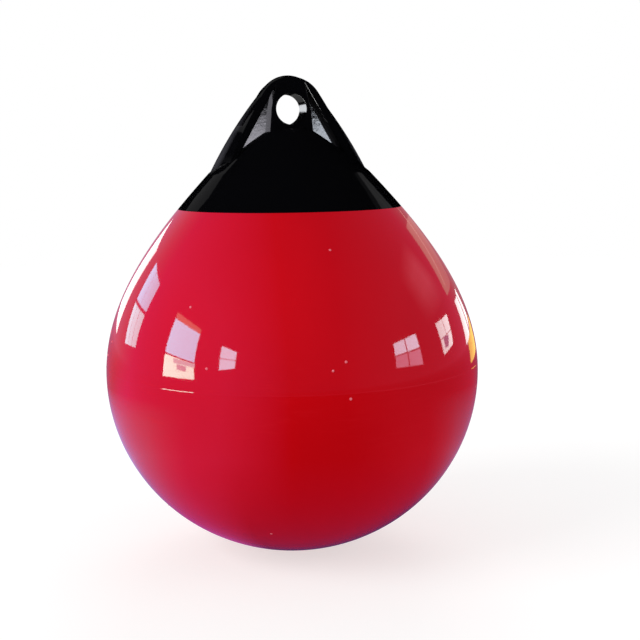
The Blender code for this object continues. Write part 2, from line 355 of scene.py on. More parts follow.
def floor_colour(board):
    """The floor is duller than the walls, but bluer and paler close behind the float."""
    east, north = compass(board)
    place = board.add("ShaderNodeNewGeometry")["Position"]
    reach = board.add("ShaderNodeVectorMath", {"operation": "LENGTH"}, [place])["Value"]
    side = east.between(-0.2, 0.3)
    near = (1 - reach.between(0.4, 0.7)) * north.between(-0.4, 0.1)
    far = reach.between(1.2, 5.0)
    colour = board.mix_colour(far, by_direction(board, FLOOR_DUSK), by_direction(board, WALL_DUSK))
    colour = board.mix_colour(near, colour, board.mix_colour(side, NEAR_LEFT, NEAR_RIGHT))
    under = board.mix_colour(east.between(-0.95, -0.6), UNDER_LEFT, UNDER)
    return board.mix_colour(1 - reach.between(0.10, 0.24), colour, under)


shape = bmesh.new()
bmesh.ops.create_icosphere(shape, subdivisions=4, radius=TENT_RADIUS)
tent_mesh = bpy.data.meshes.new("tent")
shape.to_mesh(tent_mesh)
shape.free()
tent_mesh.materials.append(glow_material("tent_cloth", wall_colour))
tent = bpy.data.objects.new("tent", tent_mesh)
bpy.context.scene.collection.objects.link(tent)
mirror_only(tent)

corners = [(-TENT_RADIUS, -TENT_RADIUS), (TENT_RADIUS, -TENT_RADIUS)]
corners += [(TENT_RADIUS, TENT_RADIUS), (-TENT_RADIUS, TENT_RADIUS)]
corners = [(x, y, 0.003) for x, y in corners]
mirror_only(flat_piece("floor cloth", corners, glow_material("floor_cloth", floor_colour)))
print("tent", 2 * TENT_RADIUS, "m wide")

# %% [markdown]
# The windows
#
# A window could be a picture on a plane, but plain glowing panes say more about what is
# there, and each can be moved by itself. A panel is a four-cornered plane, cut into panes
# with dark bars between them. The corners lie where lines from the camera, mirrored by the
# float, meet the walls of a room five metres wide.


# %% Panels for the windows
def panel(name, corners, colour, strength, columns=1, rows=1, bar=0.05, share=None):
    """A bright window of panes between four corners, given from the top left, clockwise."""
    cloth = glow_material(name, colour, strength, share)
    top_left, top_right, low_right, low_left = (Vector(corner) for corner in corners)

    def spot(across, down):
        upper = top_left.lerp(top_right, across)
        return upper.lerp(low_left.lerp(low_right, across), down)

    for column in range(columns):
        for row in range(rows):
            left_side = (column + (bar if column else 0)) / columns
            right_side = (column + 1) / columns
            top_side = (row + (bar if row else 0)) / rows
            low_side = (row + 1) / rows
            pane = [
                spot(left_side, top_side),
                spot(right_side, top_side),
                spot(right_side, low_side),
                spot(left_side, low_side),
            ]
            mirror_only(flat_piece(f"{name} pane", pane, cloth))


def on_wall(x, pairs):
    """Corners on a side wall, from (y, z) pairs."""
    return [(x, y, z) for y, z in pairs]


def on_back(pairs, y=3.5):
    """Corners on the back wall, from (x, z) pairs."""
    return [(x, y, z) for x, z in pairs]


def fade_out(board):
    """1 on a panel's first side, falling off towards its second."""
    across = board.add("ShaderNodeSeparateXYZ", None, [board.add("ShaderNodeTexCoord")["UV"]])["X"]
    return 1 - across.between(0.3, 1.3)


def soft_edges(board):
    """1 in the middle of a panel, falling to 0 at its edges."""
    spot = board.add("ShaderNodeSeparateXYZ", None, [board.add("ShaderNodeTexCoord")["UV"]])
    inside = [0.5 - (spot[axis] - 0.5).math("ABSOLUTE") for axis in ("X", "Y")]
    return inside[0].between(0, 0.35) * inside[1].between(0, 0.35)


LEFT_WALL = -2.5
RIGHT_WALL = 2.5
BEFORE_WALL = 0.05

upper_door = on_wall(LEFT_WALL, [(3.32, 1.74), (1.65, 1.60), (1.57, 1.08), (2.99, 1.08)])
lower_door = on_wall(LEFT_WALL, [(2.99, 1.02), (1.56, 1.02), (1.42, 0.44), (2.38, 0.34)])
lintel = on_wall(LEFT_WALL, [(0.19, 1.49), (-0.85, 1.50), (-0.86, 1.38), (0.15, 1.36)])
gate = on_wall(LEFT_WALL, [(0.15, 1.36), (-0.86, 1.38), (-0.91, 0.66), (0.08, 0.65)])
sill = on_wall(LEFT_WALL, [(0.08, 0.62), (-0.91, 0.63), (-0.98, 0.24), (0.03, 0.17)])
crate_spots = [(-0.22, 0.59), (-0.92, 0.63), (-0.93, 0.53), (-0.26, 0.49)]
crate_on_sill = on_wall(LEFT_WALL + BEFORE_WALL, crate_spots)
box_spots = [(-0.36, 0.49), (-0.67, 0.50), (-0.67, 0.38), (-0.38, 0.38)]
box_on_sill = on_wall(LEFT_WALL + BEFORE_WALL, box_spots)
small = on_wall(LEFT_WALL, [(-1.80, 1.42), (-2.58, 1.48), (-2.60, 0.87), (-1.85, 0.65)])
panel("left door above", upper_door, (0.22, 0.70, 1.0), 6.6, columns=2, bar=0.02)
panel("left door below", lower_door, (0.36, 0.86, 1.0), 6.4, columns=3, bar=0.05)
panel("gate lintel", lintel, (1.0, 0.72, 0.68), 3.0)
panel("gate", gate, (0.18, 0.71, 1.0), 15)
panel("gate sill", sill, (0.57, 1.0, 0.88), 16)
panel("crate on the sill", crate_on_sill, (0.45, 0.87, 1.0), 8.5)
panel("box on the sill", box_on_sill, (0.45, 0.80, 1.0), 7)
panel("small window", small, (0.40, 0.77, 1.0), 14, rows=2, bar=0.07)

upper_right = on_wall(RIGHT_WALL, [(-1.81, 1.13), (-0.80, 0.98), (-0.81, 0.68), (-1.86, 0.80)])
lower_right = on_wall(RIGHT_WALL, [(-1.86, 0.77), (-0.81, 0.65), (-0.83, 0.31), (-1.91, 0.46)])
right_window = on_wall(RIGHT_WALL, [(0.10, 0.82), (0.83, 0.72), (0.62, 0.33), (0.06, 0.28)])
notch = on_wall(RIGHT_WALL - BEFORE_WALL, [(0.22, 0.54), (0.50, 0.50), (0.36, 0.36), (0.18, 0.36)])
far_door = on_wall(RIGHT_WALL, [(1.91, 0.56), (2.58, 0.44), (2.48, 0.02), (1.60, 0.06)])
far_strip = on_wall(RIGHT_WALL, [(2.70, 0.43), (3.12, 0.38), (3.32, 0.02), (2.66, 0.02)])
pale_patch = on_wall(RIGHT_WALL, [(-0.30, 2.00), (1.15, 1.85), (1.35, 0.85), (-0.25, 0.90)])
crate = [(0.96, 0.60, 0.13), (0.685, 0.87, 0.125), (0.685, 0.87, 0.02), (0.96, 0.60, 0.02)]
panel("upper right panes", upper_right, (0.66, 0.81, 1.0), 11.2, columns=2, bar=0.08)
panel("lower right panes", lower_right, (1.0, 0.60, 0.85), 4.8, columns=2, bar=0.08)
panel("right window", right_window, (0.86, 0.97, 1.0), 7, columns=2, rows=2)
panel("notch", notch, (0.35, 0.60, 1.0), 2.0)
panel("far right door", far_door, (0.92, 1.0, 1.0), 3.6)
panel("far right strip", far_strip, (0.92, 1.0, 1.0), 3.0)
panel("pale patch", pale_patch, (1.0, 0.25, 0.38), 1.8, share=soft_edges)
panel("crate", crate, (1.0, 0.70, 0.18), 2.2)

back_opening = on_back([(-1.70, 1.28), (-0.72, 0.85), (-0.78, 0.12), (-1.84, 0.14)])
dim_wall = on_back([(4.27, 2.43), (1.72, 0.50), (3.11, 0.62), (6.0, 1.62)], 3.6)
beam = on_back([(4.7, 1.40), (2.7, 1.46), (2.7, 1.38), (4.7, 1.31)])
panel("back opening", back_opening, (0.95, 1.0, 1.0), 4)
panel("dim wall", dim_wall, (1.0, 0.66, 0.62), 1.15, share=fade_out)
panel("beam", beam, (1.0, 0.66, 0.60), 1.7)

# %% [markdown]
# Lamps for the black head
#
# A black gloss shows nothing but what it mirrors, so the head's pockets, its bore and its
# soft edges each need something bright to face. Panels would hang in the float's mirror as
# dark patches. A lamp hides nothing behind it, and light linking keeps it to the head. Its
# power follows from its area and from the brightness that the head should see.

# %% Lamps that only the head mirrors
HEAD_MIDDLE = Vector((0, 0, 0.34))
UP = Vector((0, 0, 1))


def head_lamp(name, spot, size, radiance, facing=None, colour=(1, 1, 1), roll=0):
    """A lamp that only shows in the head's gloss. Unlike a panel it hides nothing behind it."""
    lamp = bpy.data.lights.new(name, "AREA")
    lamp.shape = "RECTANGLE"
    lamp.size, lamp.size_y = size
    lamp.energy = radiance * math.pi * size[0] * size[1]
    lamp.color = colour
    made = bpy.data.objects.new(name, lamp)
    made.location = spot
    facing = facing or HEAD_MIDDLE - Vector(spot)
    aimed = facing.to_track_quat("-Z", "Y").to_matrix().to_4x4()
    made.rotation_euler = (aimed @ Matrix.Rotation(math.radians(roll), 4, "Z")).to_euler()
    bpy.context.scene.collection.objects.link(made)
    mirror_only(made, head_room)


LAVENDER = (0.92, 0.90, 1.0)
ICE = (0.84, 0.90, 1.0)
head_lamp("left web lamp", (0.36, -2.5, 0.32), (0.16, 0.22), 3.5, colour=LAVENDER)
head_lamp("left web low lamp", (0.36, -2.5, 0.28), (0.16, 0.22), 5.5, colour=LAVENDER)
head_lamp("right web lamp", (0.545, -2.5, 0.297), (0.26, 0.16), 13, colour=ICE, roll=36)
head_lamp("boss lamp", (-0.5, -2.5, 0.50), (0.5, 0.4), 7, colour=LAVENDER)
head_lamp("left floor lamp", (-0.75, -0.45, 0.01), (1.2, 1.6), 16, facing=UP)
head_lamp("right floor lamp", (0.85, -0.45, 0.01), (1.2, 1.6), 6, facing=UP)
head_lamp("bore lamp", (-0.74, 3.4, 0.45), (0.28, 0.75), 1.7, colour=(0.93, 0.97, 1.0))
head_lamp("bore side lamp", (-0.74, 3.4, 0.30), (0.28, 1.1), 0.3, colour=LAVENDER)
head_lamp("left foot lamp", (-1.8, 3.3, 2.3), (1.2, 1.2), 0.10)
head_lamp("right foot lamp", (2.9, 2.2, 2.1), (0.9, 0.9), 0.12)
for angle in range(0, 360, 60):
    way = Vector((math.sin(math.radians(angle)), -math.cos(math.radians(angle)), 0))
    head_lamp("round lamp", way * 5 + Vector((0, 0, 2.6)), (1.6, 2.4), 0.03)
head_lamp("floor lamp", (0, 0, 0.008), (5, 5), 0.1, facing=UP)
print("lamps:", len(bpy.data.lights))

# %% [markdown]
# The buoy's own measures
#
# These lengths are the ones that the solids were made from. The float's outline follows two
# rules: half an ellipse below the widest ring, and above it a power curve that leans in
# towards the head. Everything else is measured from these two curves.

# %% Measures in metres
BODY_RADIUS = 0.150
BELLY_DEPTH = 0.1457
SHOULDER_HEIGHT = 0.238
SHOULDER_POWER = 1.43
WALL = 0.003
SEAM_ABOVE_WIDEST = 0.008
SEAM_WIDTH = 0.0018
SEAM_RIDGE = 0.00007
NECK_RADIUS = 0.020
SKIRT_RADIUS = 0.0891
SKIRT_WALL = 0.003
CROWN_RADIUS = 0.064
CROWN_SLOPE = math.radians(39)
NECK_SLOPE = math.radians(22)
FIT = 0.0003
RECESS = SKIRT_WALL + FIT


def shoulder_rise(radius):
    """How far above the widest ring the shoulder has this radius."""
    share = (radius / BODY_RADIUS) ** (1 / SHOULDER_POWER)
    return SHOULDER_HEIGHT * math.sqrt(1 - share)


SKIRT_EDGE_RISE = shoulder_rise(SKIRT_RADIUS)
CROWN_RISE = shoulder_rise(CROWN_RADIUS)
CROWN_HEIGHT = BELLY_DEPTH + CROWN_RISE
print("skirt edge at", round(BELLY_DEPTH + SKIRT_EDGE_RISE, 4))
print("crown ring at", round(CROWN_HEIGHT, 4))

# %% [markdown]
# The float
#
# The real float is a soft vinyl balloon with a wall of a few millimetres. Its shape follows
# the two curves, so Geometry Nodes can make it: a flat grid is rolled round the axis, and
# each row is put at its place on the outline. Rows are shared out so that the fine mould
# seam gets its own. A slow noise makes the skin bulge by a tenth of a millimetre, which is
# what makes the mirrored windows waver.


# %% Float as a rolled-up grid
FLOAT_COLUMNS = 192
FLOAT_ROWS = {
    "belly": 64,
    "below seam": 4,
    "seam": 8,
    "shoulder": 64,
    "step": 2,
    "under skirt": 14,
    "neck": 6,
}
SKIN_WAVE = 0.00012
SKIN_WAVE_SCALE = 13.0
MERGE_DISTANCE = 1e-6


def geometry_tree(name, inputs):
    """A Geometry Nodes tree with these named number inputs, and its board."""
    tree = bpy.data.node_groups.new(name, "GeometryNodeTree")
    tree.interface.new_socket("Geometry", in_out="INPUT", socket_type="NodeSocketGeometry")
    for title, value in inputs.items():
        socket = tree.interface.new_socket(title, in_out="INPUT", socket_type="NodeSocketFloat")
        socket.default_value = value
    tree.interface.new_socket("Geometry", in_out="OUTPUT", socket_type="NodeSocketGeometry")
    return tree, Board(tree)


def finish_tree(board, geometry, material):
    """Realize, give the material, and end the tree."""
    realized = board.add("GeometryNodeRealizeInstances", None, [geometry])[0]
    paint = {"Geometry": realized, "Material": material}
    painted = board.add("GeometryNodeSetMaterial", None, paint)[0]
    board.add("NodeGroupOutput", None, [painted])


def settled(thing):
    """The plain mesh of an object after all its modifiers. The object itself goes."""
    ready = bpy.context.evaluated_depsgraph_get()
    mesh = bpy.data.meshes.new_from_object(thing.evaluated_get(ready))
    bpy.data.objects.remove(thing)
    return mesh


def grown(name, tree, inputs, base=None):
    """The plain mesh that a tree makes, from a base mesh if one is given."""
    start = base or bpy.data.meshes.new(name)
    holder = bpy.data.objects.new(name, start)
    bpy.context.scene.collection.objects.link(holder)
    step = holder.modifiers.new("shape", "NODES")
    step.node_group = tree
    for item in tree.interface.items_tree:
        if item.in_out == "INPUT" and item.name in inputs:
            step[item.identifier] = inputs[item.name]
    return settled(holder)


def float_skin_tree(material):
    """The float's outer skin, from its lowest point to the neck under the head."""
    inputs = {
        "Body radius": BODY_RADIUS,
        "Belly depth": BELLY_DEPTH,
        "Shoulder height": SHOULDER_HEIGHT,
        "Shoulder power": SHOULDER_POWER,
        "Skirt edge rise": SKIRT_EDGE_RISE,
        "Crown rise": CROWN_RISE,
        "Recess": RECESS,
        "Neck radius": NECK_RADIUS,
        "Neck slope": NECK_SLOPE,
        "Seam rise": SEAM_ABOVE_WIDEST,
        "Seam width": SEAM_WIDTH,
        "Seam ridge": SEAM_RIDGE,
        "Wave": SKIN_WAVE,
    }
    tree, board = geometry_tree("float skin", inputs)
    given = board.add("NodeGroupInput")
    rows = sum(FLOAT_ROWS.values())
    grid_size = {"Size X": 1.0, "Size Y": 1.0}
    grid_size |= {"Vertices X": FLOAT_COLUMNS + 1, "Vertices Y": rows + 1}
    grid = board.add("GeometryNodeMeshGrid", None, grid_size)["Mesh"]
    flat = board.add("ShaderNodeSeparateXYZ", None, [board.add("GeometryNodeInputPosition")[0]])
    angle = (flat["X"] + 0.5) * math.tau
    row = (flat["Y"] + 0.5) * rows

    shares = {}
    first = 0
    for part, count in FLOAT_ROWS.items():
        shares[part] = row.between(first, first + count)
        first += count

    seam_foot = given["Seam rise"] - given["Seam width"] * 0.5
    rise = shares["below seam"] * seam_foot + shares["seam"] * given["Seam width"]
    rise += shares["shoulder"] * (given["Skirt edge rise"] - seam_foot - given["Seam width"])
    rise += shares["under skirt"] * (given["Crown rise"] - given["Skirt edge rise"])
    ridge = (shares["seam"] * math.pi).math("SINE") ** 2.0
    depth = shares["step"] * given["Recess"] - ridge * given["Seam ridge"]

    tilt = (1 - shares["belly"]) * (math.pi / 2)
    part_way = rise / given["Shoulder height"]
    left = 1 - part_way * part_way
    radius = given["Body radius"] * tilt.math("COSINE") * left ** given["Shoulder power"]
    height = given["Belly depth"] * (1 - tilt.math("SINE")) + rise
    lean = given["Body radius"] * given["Shoulder power"] * part_way * 2
    lean = lean / given["Shoulder height"] * left ** (given["Shoulder power"] - 1)
    length = (lean * lean + 1).math("SQRT")
    radius = radius - depth / length
    height = height - depth * lean / length
    to_neck = shares["neck"] * (radius - given["Neck radius"])
    radius = radius - to_neck
    height = height + to_neck * given["Neck slope"].math("TANGENT")

    spot = [radius * angle.math("COSINE"), radius * angle.math("SINE"), height]
    spot = board.add("ShaderNodeCombineXYZ", None, spot)["Vector"]
    waves = {"Vector": spot, "Scale": SKIN_WAVE_SCALE, "Detail": 1.0}
    wave = board.add("ShaderNodeTexNoise", None, waves)["Fac"]
    swell = (wave - 0.5) * given["Wave"] * 2 / given["Body radius"] + 1
    scaling = {0: spot, "Scale": swell}
    spot = board.add("ShaderNodeVectorMath", {"operation": "SCALE"}, scaling)["Vector"]
    rolled = board.add("GeometryNodeSetPosition", None, {"Geometry": grid, "Position": spot})[0]
    merge = {"Geometry": rolled, "Distance": MERGE_DISTANCE}
    closed = board.add("GeometryNodeMergeByDistance", None, merge)[0]
    smooth = board.add("GeometryNodeSetShadeSmooth", None, [closed])[0]
    finish_tree(board, smooth, material)
    return tree, inputs


def put_in_scene(name, mesh):
    """A new object at the origin, with its place in its mesh."""
    made = bpy.data.objects.new(name, mesh)
    bpy.context.scene.collection.objects.link(made)
    return made


def face_outwards(mesh):
    """Merge doubles and point every face out."""
    shape = bmesh.new()
    shape.from_mesh(mesh)
    bmesh.ops.remove_doubles(shape, verts=shape.verts, dist=MERGE_DISTANCE)
    bmesh.ops.recalc_face_normals(shape, faces=shape.faces)
    shape.to_mesh(mesh)
    shape.free()


red_vinyl, red_board, red_output = new_material("red_vinyl")
tree, inputs = float_skin_tree(red_vinyl)
skin_mesh = grown("float skin", tree, inputs)
face_outwards(skin_mesh)
inflated_float = put_in_scene("inflated_float", skin_mesh)
print("skin faces:", len(skin_mesh.polygons))

# %% [markdown]
# A wall and a valve hole
#
# The skin so far is as thin as paper, and Solidify gives it the vinyl's thickness. The air
# valve sits in the rear of the head's skirt and goes on through the float, so a round
# cutter opens the float there. Round things such as this cutter are outlines spun about an
# axis, and one helper makes them all.

# %% Valve place and the helpers for round shapes
TURNED_STEPS = 192
SMALL_STEPS = 48
OVERCUT = 0.004
SHARP_ANGLE = math.radians(35)
VALVE_BARREL_RADIUS = 0.006


def spread(first, last, count):
    """Evenly spaced values from first to last."""
    return [first + (last - first) * step / (count - 1) for step in range(count)]


def shoulder(rise, depth=0.0):
    """Point (radius, height) on the shoulder curve, moved inwards by depth."""
    part_way = rise / SHOULDER_HEIGHT
    left = 1 - part_way * part_way
    lean = 2 * BODY_RADIUS * SHOULDER_POWER * part_way / SHOULDER_HEIGHT
    lean *= left ** (SHOULDER_POWER - 1)
    length = math.hypot(1, lean)
    radius = BODY_RADIUS * left**SHOULDER_POWER - depth / length
    return (radius, BELLY_DEPTH + rise - depth * lean / length)


def valve_frame():
    """Place and turn of the valve: its own +Z points out of the rear of the skirt."""
    rise = (SKIRT_EDGE_RISE + CROWN_RISE) / 2
    radius, height = shoulder(rise)
    inner_radius, inner_height = shoulder(rise, SKIRT_WALL)
    out = Vector((0, radius - inner_radius, height - inner_height)).normalized()
    aimed = out.to_track_quat("Z", "X").to_matrix().to_4x4()
    return Matrix.Translation((0, radius, height)) @ aimed


VALVE_PLACE = valve_frame()


def turned(profile, steps=TURNED_STEPS, closed=False, place=None):
    """A mesh from a profile of (radius, height) points spun about Z, faces out."""
    shape = bmesh.new()
    points = [shape.verts.new((radius, 0, height)) for radius, height in profile]
    ends = points[1:] + points[:1] if closed else points[1:]
    edges = [shape.edges.new(pair) for pair in zip(points, ends)]
    bmesh.ops.spin(
        shape, geom=points + edges, axis=(0, 0, 1), angle=math.tau, steps=steps, use_merge=True
    )
    return to_mesh(shape, "turned", place)


def to_mesh(shape, name, place=None):
    """Clean a bmesh, put it in place, and turn it into a mesh."""
    bmesh.ops.remove_doubles(shape, verts=shape.verts, dist=MERGE_DISTANCE)
    bmesh.ops.recalc_face_normals(shape, faces=shape.faces)
    if place:
        shape.transform(place)
    mesh = bpy.data.meshes.new(name)
    shape.to_mesh(mesh)
    shape.free()
    return mesh


def soft_shaded(mesh):
    """The mesh with smooth shading, sharp at real edges, and with flat faces kept flat."""
    mesh.shade_smooth()
    mesh.set_sharp_from_angle(angle=SHARP_ANGLE)
    holder = put_in_scene("shading", mesh)
    step = holder.modifiers.new("weights", "WEIGHTED_NORMAL")
    step.keep_sharp = True
    return settled(holder)


def cut_and_joined(name, mesh, steps):
    """The mesh after Boolean steps, given as (operation, mesh) pairs, smooth but for its edges."""
    piece = put_in_scene(name, mesh)
    tools = []
    for operation, tool_mesh in steps:
        tool = put_in_scene("tool", tool_mesh)
        step = piece.modifiers.new("cut", "BOOLEAN")
        step.operation = operation
        step.solver = "EXACT"
        step.object = tool
        tools.append(tool)
    result = settled(piece)
    for tool in tools:
        bpy.data.objects.remove(tool)
    shape = bmesh.new()
    shape.from_mesh(result)
    bmesh.ops.remove_doubles(shape, verts=shape.verts, dist=2 * MERGE_DISTANCE)
    shape.to_mesh(result)
    shape.free()
    return soft_shaded(result)


def rod(radius, bottom, top):
    """A round rod in the valve's place."""
    profile = [(0, top), (radius, top), (radius, bottom), (0, bottom)]
    return turned(profile, SMALL_STEPS, place=VALVE_PLACE)


# %% Thickness and valve hole
wall = inflated_float.modifiers.new("wall", "SOLIDIFY")
wall.thickness = WALL
wall.offset = -1
hole = rod(VALVE_BARREL_RADIUS + FIT, -(RECESS + WALL + OVERCUT), OVERCUT)
float_mesh = cut_and_joined("float", settled(inflated_float), [("DIFFERENCE", hole)])
print("float faces:", len(float_mesh.polygons))

# %% [markdown]
# Nibs from the mould
#
# A mould leaves pinhead bumps here and there on a vinyl float. The photograph shows a few
# on the front, which get their places one by one, and a fixed seed draws places for the rest.
# The bumps repeat, so Geometry Nodes sets a small ball on each place, half sunk in the
# skin. Their pale colour is a painted highlight, so they bring a material of their own.

# %% Nibs on the skin
NIB_RADIUS = 0.0012
NIB_SINK = 0.0007
NIB_SEED = 11
SEEN_NIBS = ((-85.5, 0.2512), (-89.5, 0.1705), (-85.7, 0.1761), (-84.9, 0.1503))
MORE_NIBS = 18
NIB_HEIGHTS = (0.03, 0.26)
NIB_SHARES = {2: 0.85, 3: 1.05, "Seed": NIB_SEED}


def float_spot(angle, height, depth):
    """A point at this angle and height, this far under the float's skin."""
    if height < BELLY_DEPTH:
        tilt = math.asin(1 - height / BELLY_DEPTH)
        radius = BODY_RADIUS * math.cos(tilt)
        out = Vector((radius / BODY_RADIUS**2, (height - BELLY_DEPTH) / BELLY_DEPTH**2))
        out.normalize()
        radius, height = radius - depth * out.x, height - depth * out.y
    else:
        radius, height = shoulder(height - BELLY_DEPTH, depth)
    return (radius * math.cos(angle), radius * math.sin(angle), height)


def nib_tree(material):
    """A small round bump on every vertex of a mesh."""
    inputs = {"Nib radius": NIB_RADIUS}
    tree, board = geometry_tree("moulding nibs", inputs)
    given = board.add("NodeGroupInput")
    points = board.add("GeometryNodeMeshToPoints", None, {"Mesh": given["Geometry"]})["Points"]
    round_nib = {"Radius": given["Nib radius"], "Subdivisions": 3}
    ball = board.add("GeometryNodeMeshIcoSphere", None, round_nib)
    size = board.add("FunctionNodeRandomValue", {"data_type": "FLOAT"}, NIB_SHARES)[1]
    place = {"Points": points, "Instance": ball["Mesh"], "Scale": size}
    nibs = board.add("GeometryNodeInstanceOnPoints", None, place)[0]
    smooth = board.add("GeometryNodeSetShadeSmooth", None, [nibs])[0]
    finish_tree(board, smooth, material)
    return tree, inputs


chance = random.Random(NIB_SEED)
nib_spots = [float_spot(math.radians(angle), height, NIB_SINK) for angle, height in SEEN_NIBS]
for _ in range(MORE_NIBS):
    nib_spots.append(float_spot(chance.uniform(0, math.tau), chance.uniform(*NIB_HEIGHTS), NIB_SINK))
spots_mesh = bpy.data.meshes.new("nib spots")
spots_mesh.from_pydata(nib_spots, [], [])
# The nibs' pale material is a painted highlight.
nib_painted_glint, nib_board, nib_output = new_material("nib_painted_glint")
tree, inputs = nib_tree(nib_painted_glint)
nib_mesh = grown("nibs", tree, inputs, base=spots_mesh)
for polygon in nib_mesh.polygons:
    polygon.material_index = len(float_mesh.materials)
float_mesh.materials.append(nib_painted_glint)
shape = bmesh.new()
shape.from_mesh(float_mesh)
shape.from_mesh(nib_mesh)
shape.to_mesh(float_mesh)
shape.free()
inflated_float = put_in_scene("inflated_float", float_mesh)
float_room.objects.link(inflated_float)
print("nib faces:", len(nib_mesh.polygons), "float faces:", len(float_mesh.polygons))

# %% [markdown]
# The moulded head
#
# The head is one moulding: a skirt that lies flush in the float, a crown, and an upright
# lug with a rope eye and four pockets. The skirt and the crown are turned, the lug is a
# round-topped arch, and Boolean cutters open the rest, as in the solids. What the solids
# leave out is the softness of moulded edges. Each cutter therefore flares at its mouth
# like a trumpet, so every edge that it leaves is already round and catches a thin light.

# %% Measures of the head
CROWN_TIP_RADIUS = 0.026
CROWN_TIP_ROUND = 0.020
ROOT_DEPTH = 0.012
EYE_RADIUS = 0.012
EYE_HEIGHT = CROWN_HEIGHT + 0.049
LUG_TOP = EYE_HEIGHT + EYE_RADIUS + 0.0146
LUG_THICKNESS = 0.030
LUG_FACE_DRAFT = math.radians(4.6)
LUG_FLANK_ANGLE = math.radians(40.9)
LUG_TOP_RADIUS = 0.0243
LUG_FLANK_BOW = 0.335
FACE_FLANK_ANGLE = math.radians(32)
FACE_TOP_RADIUS = 0.0254
FACE_FLANK_BOW = 0.40
FACE_TOP_DROP = 0.0017
LUG_EDGE_ROUND = 0.002
WEB_THICKNESS = 0.006
BOSS_WALL = 0.0036
BOSS_LEAN_ABOVE = math.radians(11.3)
BOSS_LEAN_BELOW = math.radians(5.2)
RIM_WIDTH = 0.0072
POCKET_FLANK_ANGLE = math.radians(29.7)
POCKET_SINK = 0.0006
VALVE_PAD_RADIUS = 0.0125
VALVE_PAD_RISE = 0.0015
MOUTH_ROUND = 0.0017
EYE_ROUND = 0.0003
MOUTH_STEPS = 5
MOUTH_LIFT = 0.05
ARC_STEPS = 40
FLANK_STEPS = 24
EYE_STEPS = 96


# %% Skirt, crown and root in one outline
def crown(radius):
    """Point of the crown's cone at this radius."""
    return (radius, CROWN_HEIGHT + (CROWN_RADIUS - radius) * math.tan(CROWN_SLOPE))


def crown_tip():
    """Points that round the crown over, from its cone to the axis."""
    radius, height = crown(CROWN_TIP_RADIUS)
    centre_radius = radius - CROWN_TIP_ROUND * math.sin(CROWN_SLOPE)
    centre_height = height - CROWN_TIP_ROUND * math.cos(CROWN_SLOPE)
    over = []
    for angle in spread(CROWN_SLOPE, 0, 10):
        across = centre_radius + CROWN_TIP_ROUND * math.sin(angle)
        over.append((across, centre_height + CROWN_TIP_ROUND * math.cos(angle)))
    return over + [(0, over[-1][1])]


def under_skirt(depth):
    """Points at this depth under the skirt, from its edge up to the crown's ring."""
    return [shoulder(rise, depth) for rise in spread(SKIRT_EDGE_RISE, CROWN_RISE, 14)]


def neck(radius, depth):
    """Point on the gentle cone from the crown's ring to the float's neck."""
    ring_radius, ring_height = shoulder(CROWN_RISE, depth)
    return (radius, ring_height + (ring_radius - radius) * math.tan(NECK_SLOPE))


def head_outline():
    """The outside from the skirt's lip to the top of the crown, closed straight below."""
    lip = shoulder(SKIRT_EDGE_RISE, SKIRT_WALL + OVERCUT)
    rises = spread(SKIRT_EDGE_RISE, CROWN_RISE, 24)
    cone = [crown(radius) for radius in spread(CROWN_RADIUS, CROWN_TIP_RADIUS, 12)[1:-1]]
    return [(0, lip[1]), lip] + [shoulder(rise) for rise in rises] + cone + crown_tip()


def float_space():
    """What the float fills under the head, as a cutter."""
    root_radius = NECK_RADIUS - FIT
    root_bottom = neck(NECK_RADIUS, RECESS)[1] - ROOT_DEPTH
    space = under_skirt(SKIRT_WALL) + [neck(root_radius, SKIRT_WALL), (root_radius, root_bottom)]
    first, second = space[:2]
    run_out = (2 * first[0] - second[0], 2 * first[1] - second[1])
    floor = run_out[1] - OVERCUT
    return turned([(0, floor), (run_out[0], floor), run_out] + space + [(0, root_bottom)])


# %% Lug with a soft rim
def arch(top, radius, flank, bow, base):
    """Outline (x, z) of a lug with a round top and slightly bowed flanks."""
    centre = top - radius
    right_side = [
        (radius * math.cos(angle), centre + radius * math.sin(angle))
        for angle in spread(math.pi / 2, flank, ARC_STEPS)
    ]
    bow_x = (radius - bow) * math.cos(flank)
    bow_z = centre + (radius - bow) * math.sin(flank)
    foot = math.asin((base - bow_z) / bow)
    right_side += [
        (bow_x + bow * math.cos(angle), bow_z + bow * math.sin(angle))
        for angle in spread(flank, foot, FLANK_STEPS)[1:]
    ]
    return [(-x, z) for x, z in reversed(right_side[1:])] + right_side


def face_arch(base):
    """Outline of the lug's flat face, a little inside the lug's widest outline."""
    top = LUG_TOP - FACE_TOP_DROP
    return arch(top, FACE_TOP_RADIUS, FACE_FLANK_ANGLE, FACE_FLANK_BOW, base)


def face_depth(height):
    """Half the lug's thickness at this height: it thickens downwards."""
    return LUG_THICKNESS / 2 + (EYE_HEIGHT - height) * math.tan(LUG_FACE_DRAFT)


def bridge(shape, near, far):
    """Faces all round between two rings of the same count."""
    for step in range(-1, len(near) - 1):
        shape.faces.new((near[step], near[step + 1], far[step + 1], far[step]))


def lug_mesh(base):
    """The solid lug, widest in its middle plane, with rounded edges."""
    middle = arch(LUG_TOP, LUG_TOP_RADIUS, LUG_FLANK_ANGLE, LUG_FLANK_BOW, base)
    face = face_arch(base)
    shape = bmesh.new()
    middle_ring = [shape.verts.new((x, 0, z)) for x, z in middle]
    flats = []
    for side in (-1, 1):
        face_ring = [shape.verts.new((x, side * face_depth(z), z)) for x, z in face]
        flats.append(shape.faces.new(face_ring))
        bridge(shape, middle_ring, face_ring)
    rims = [edge for flat in flats for edge in flat.edges]
    rims = [edge for edge in rims if max(end.co.z for end in edge.verts) > base + 1e-6]
    rounding = {"offset": LUG_EDGE_ROUND, "segments": 5, "profile": 0.5, "affect": "EDGES"}
    bmesh.ops.bevel(shape, geom=rims, **rounding)
    return to_mesh(shape, "lug")


